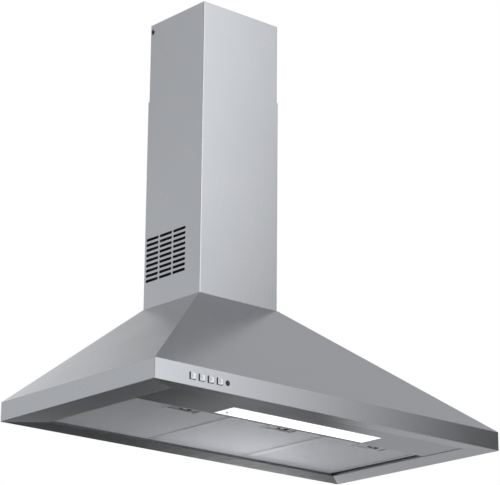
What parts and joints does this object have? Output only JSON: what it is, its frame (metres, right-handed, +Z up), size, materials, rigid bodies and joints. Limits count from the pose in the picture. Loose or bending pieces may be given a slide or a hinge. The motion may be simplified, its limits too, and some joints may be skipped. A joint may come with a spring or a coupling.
{
  "type": "range hood",
  "caption": "Wall-mounted chimney range hood: pyramid canopy with mesh grease filters, a lamp panel and push buttons, a blower inside and telescopic chimney covers.",
  "frame": {"origin": "on the wall plane, in the middle of the width, at the level of the canopy's lower edge", "axes": "+X to the right along the wall seen from the room, +Y into the wall, +Z up"},
  "size_m": [0.9, 0.483, 0.934],
  "materials": {
    "canopy_steel": "satin, brushed along the width",
    "panel_steel": "satin, brushed along the width",
    "galvanised_steel": "galvanised",
    "diffuser_plastic": "opal white",
    "reflector_paint": "gloss white",
    "lamp_ceramic": "glazed",
    "lamp_glass": "frosted",
    "switch_plastic": "moulded",
    "button_plastic": "silver",
    "indicator_plastic": "smoked",
    "filter_aluminium": "satin",
    "filter_mesh": "expanded mesh",
    "handle_plastic": "silver grey",
    "latch_plastic": "light grey",
    "motor_metal": "grey",
    "motor_core": "laminated",
    "bright_steel": "ground",
    "grommet_rubber": "soft",
    "impeller_plastic": "moulded",
    "collar_plastic": "moulded",
    "box_plastic": "moulded",
    "capacitor_plastic": "moulded",
    "screw_steel": "zinc plated",
    "black_screw": "black phosphated"
  },
  "bodies": {
    "hood": {"canopy_front": "canopy_steel", "canopy_left": "canopy_steel", "canopy_right": "canopy_steel", "top_plate": "canopy_steel", "lower_chimney": "canopy_steel", "light_panel": "panel_steel", "rear_panel": "galvanised_steel", "rear_ledge": "galvanised_steel", "blower_housing": "galvanised_steel", "blower_side_left": "galvanised_steel", "blower_side_right": "galvanised_steel", "blower_bracket": "galvanised_steel", "motor_bracket": "galvanised_steel", "damper_pin": "galvanised_steel", "light_diffuser": "diffuser_plastic", "lamp_reflector": "reflector_paint", "lampholders": "lamp_ceramic", "lamp_bulbs": "lamp_glass", "switch_block": "switch_plastic", "indicator_lens": "indicator_plastic", "motor_housing": "motor_metal", "motor_end_cap": "motor_metal", "motor_stator": "motor_core", "motor_bearings": "bright_steel", "motor_grommets": "grommet_rubber", "outlet_collar": "collar_plastic", "cable_gland": "collar_plastic", "control_box": "box_plastic", "control_box_cover": "box_plastic", "terminal_block": "box_plastic", "capacitor": "capacitor_plastic", "diffuser_screw": "screw_steel", "collar_screws": "screw_steel", "machine_screws": "screw_steel", "panel_screws": "screw_steel"},
    "filter_1": {"filter_frame_1": "filter_aluminium", "filter_mesh_1": "filter_mesh", "filter_handle_1": "handle_plastic"},
    "latch_1": {"filter_latch_1": "latch_plastic"},
    "filter_2": {"filter_frame_2": "filter_aluminium", "filter_mesh_2": "filter_mesh", "filter_handle_2": "handle_plastic"},
    "latch_2": {"filter_latch_2": "latch_plastic"},
    "filter_3": {"filter_frame_3": "filter_aluminium", "filter_mesh_3": "filter_mesh", "filter_handle_3": "handle_plastic"},
    "latch_3": {"filter_latch_3": "latch_plastic"},
    "button_1": {"push_button_1": "button_plastic"},
    "button_2": {"push_button_2": "button_plastic"},
    "button_3": {"push_button_3": "button_plastic"},
    "button_4": {"push_button_4": "button_plastic"},
    "front_flap": {"damper_flap_front": "collar_plastic"},
    "rear_flap": {"damper_flap_rear": "collar_plastic"},
    "fan_wheel": {"impeller": "impeller_plastic", "motor_shaft": "bright_steel", "motor_rotor": "motor_core", "impeller_nut": "bright_steel"},
    "upper_cover": {"upper_chimney": "canopy_steel", "chimney_bracket": "galvanised_steel", "chimney_bracket_screws": "black_screw"}
  },
  "joints": [
    {"name": "filter_1_swing", "type": "hinge", "parent": "hood", "child": "filter_1", "pos_m": [-0.248, -0.059, 0.005], "axis": [1, 0, 0], "range_deg": [0, 60]},
    {"name": "filter_1_latch", "type": "slide", "parent": "filter_1", "child": "latch_1", "axis": [0, 1, 0], "range_m": [0, 0.006], "stiffness_N_per_m": 400, "springref_m": -0.002},
    {"name": "filter_2_swing", "type": "hinge", "parent": "hood", "child": "filter_2", "pos_m": [0, -0.059, 0.005], "axis": [1, 0, 0], "range_deg": [0, 60]},
    {"name": "filter_2_latch", "type": "slide", "parent": "filter_2", "child": "latch_2", "axis": [0, 1, 0], "range_m": [0, 0.006], "stiffness_N_per_m": 400, "springref_m": -0.002},
    {"name": "filter_3_swing", "type": "hinge", "parent": "hood", "child": "filter_3", "pos_m": [0.248, -0.059, 0.005], "axis": [1, 0, 0], "range_deg": [0, 60]},
    {"name": "filter_3_latch", "type": "slide", "parent": "filter_3", "child": "latch_3", "axis": [0, 1, 0], "range_m": [0, 0.006], "stiffness_N_per_m": 400, "springref_m": -0.002},
    {"name": "button_1_press", "type": "slide", "parent": "hood", "child": "button_1", "axis": [0, 1, 0], "range_m": [0, 0.003], "stiffness_N_per_m": 500, "springref_m": -0.002},
    {"name": "button_2_press", "type": "slide", "parent": "hood", "child": "button_2", "axis": [0, 1, 0], "range_m": [0, 0.003], "stiffness_N_per_m": 500, "springref_m": -0.002},
    {"name": "button_3_press", "type": "slide", "parent": "hood", "child": "button_3", "axis": [0, 1, 0], "range_m": [0, 0.003], "stiffness_N_per_m": 500, "springref_m": -0.002},
    {"name": "button_4_press", "type": "slide", "parent": "hood", "child": "button_4", "axis": [0, 1, 0], "range_m": [0, 0.003], "stiffness_N_per_m": 500, "springref_m": -0.002},
    {"name": "front_flap_swing", "type": "hinge", "parent": "hood", "child": "front_flap", "pos_m": [0, -0.0915, 0.3], "axis": [-1, 0, 0], "range_deg": [0, 80]},
    {"name": "rear_flap_swing", "type": "hinge", "parent": "hood", "child": "rear_flap", "pos_m": [0, -0.0915, 0.3], "axis": [1, 0, 0], "range_deg": [0, 80]},
    {"name": "fan_wheel_spin", "type": "hinge", "parent": "hood", "child": "fan_wheel", "pos_m": [0, -0.121, 0.166], "axis": [1, 0, 0], "continuous": true},
    {"name": "upper_cover_slide", "type": "slide", "parent": "hood", "child": "upper_cover", "axis": [0, 0, 1], "range_m": [-0.14, 0.23]}
  ]
}
